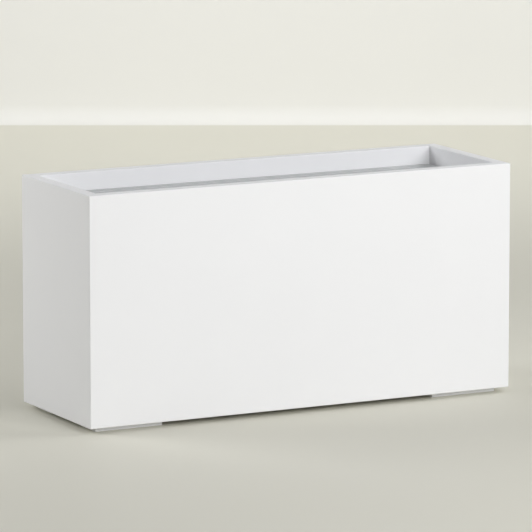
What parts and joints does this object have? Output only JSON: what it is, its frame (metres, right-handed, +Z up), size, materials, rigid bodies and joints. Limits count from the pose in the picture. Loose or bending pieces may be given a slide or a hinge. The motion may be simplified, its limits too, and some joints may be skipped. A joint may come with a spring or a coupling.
{
  "type": "trough planter",
  "caption": "Rectangular white floor planter box on low pad feet, with a moulded liner that hangs below the rim and lifts out, and pull-out drain plugs.",
  "frame": {"origin": "on the floor, under the middle of the case", "axes": "+X along the length of the case, -Y towards its front, +Z up"},
  "size_m": [0.9144, 0.3048, 0.4572],
  "materials": {
    "painted_board": "satin white paint on smooth cellular board",
    "bare_board": "planed cellular board, unpainted",
    "screw_steel": "zinc plated",
    "liner_plastic": "fine moulded grain",
    "plug_rubber": "moulded rubber"
  },
  "bodies": {
    "case": {"front_panel": "painted_board", "back_panel": "painted_board", "left_end_panel": "painted_board", "right_end_panel": "painted_board", "floor_panel": "bare_board", "front_left_post": "bare_board", "front_right_post": "bare_board", "back_left_post": "bare_board", "back_right_post": "bare_board", "front_cleat": "bare_board", "back_cleat": "bare_board", "left_cleat": "bare_board", "right_cleat": "bare_board", "front_rail": "bare_board", "back_rail": "bare_board", "left_rail": "bare_board", "right_rail": "bare_board", "front_left_foot": "painted_board", "front_right_foot": "painted_board", "back_left_foot": "painted_board", "back_right_foot": "painted_board", "foot_screws": "screw_steel", "cleat_screws": "screw_steel", "rail_screws": "screw_steel"},
    "liner": {"liner": "liner_plastic"},
    "left_plug": {"left_drain_plug": "plug_rubber"},
    "right_plug": {"right_drain_plug": "plug_rubber"}
  },
  "joints": [
    {"name": "liner_lift", "type": "slide", "parent": "case", "child": "liner", "axis": [0, 0, 1], "range_m": [0, 0.42]},
    {"name": "left_plug_pull", "type": "slide", "parent": "liner", "child": "left_plug", "axis": [0, 0, 1], "range_m": [0, 0.4]},
    {"name": "right_plug_pull", "type": "slide", "parent": "liner", "child": "right_plug", "axis": [0, 0, 1], "range_m": [0, 0.4]}
  ]
}
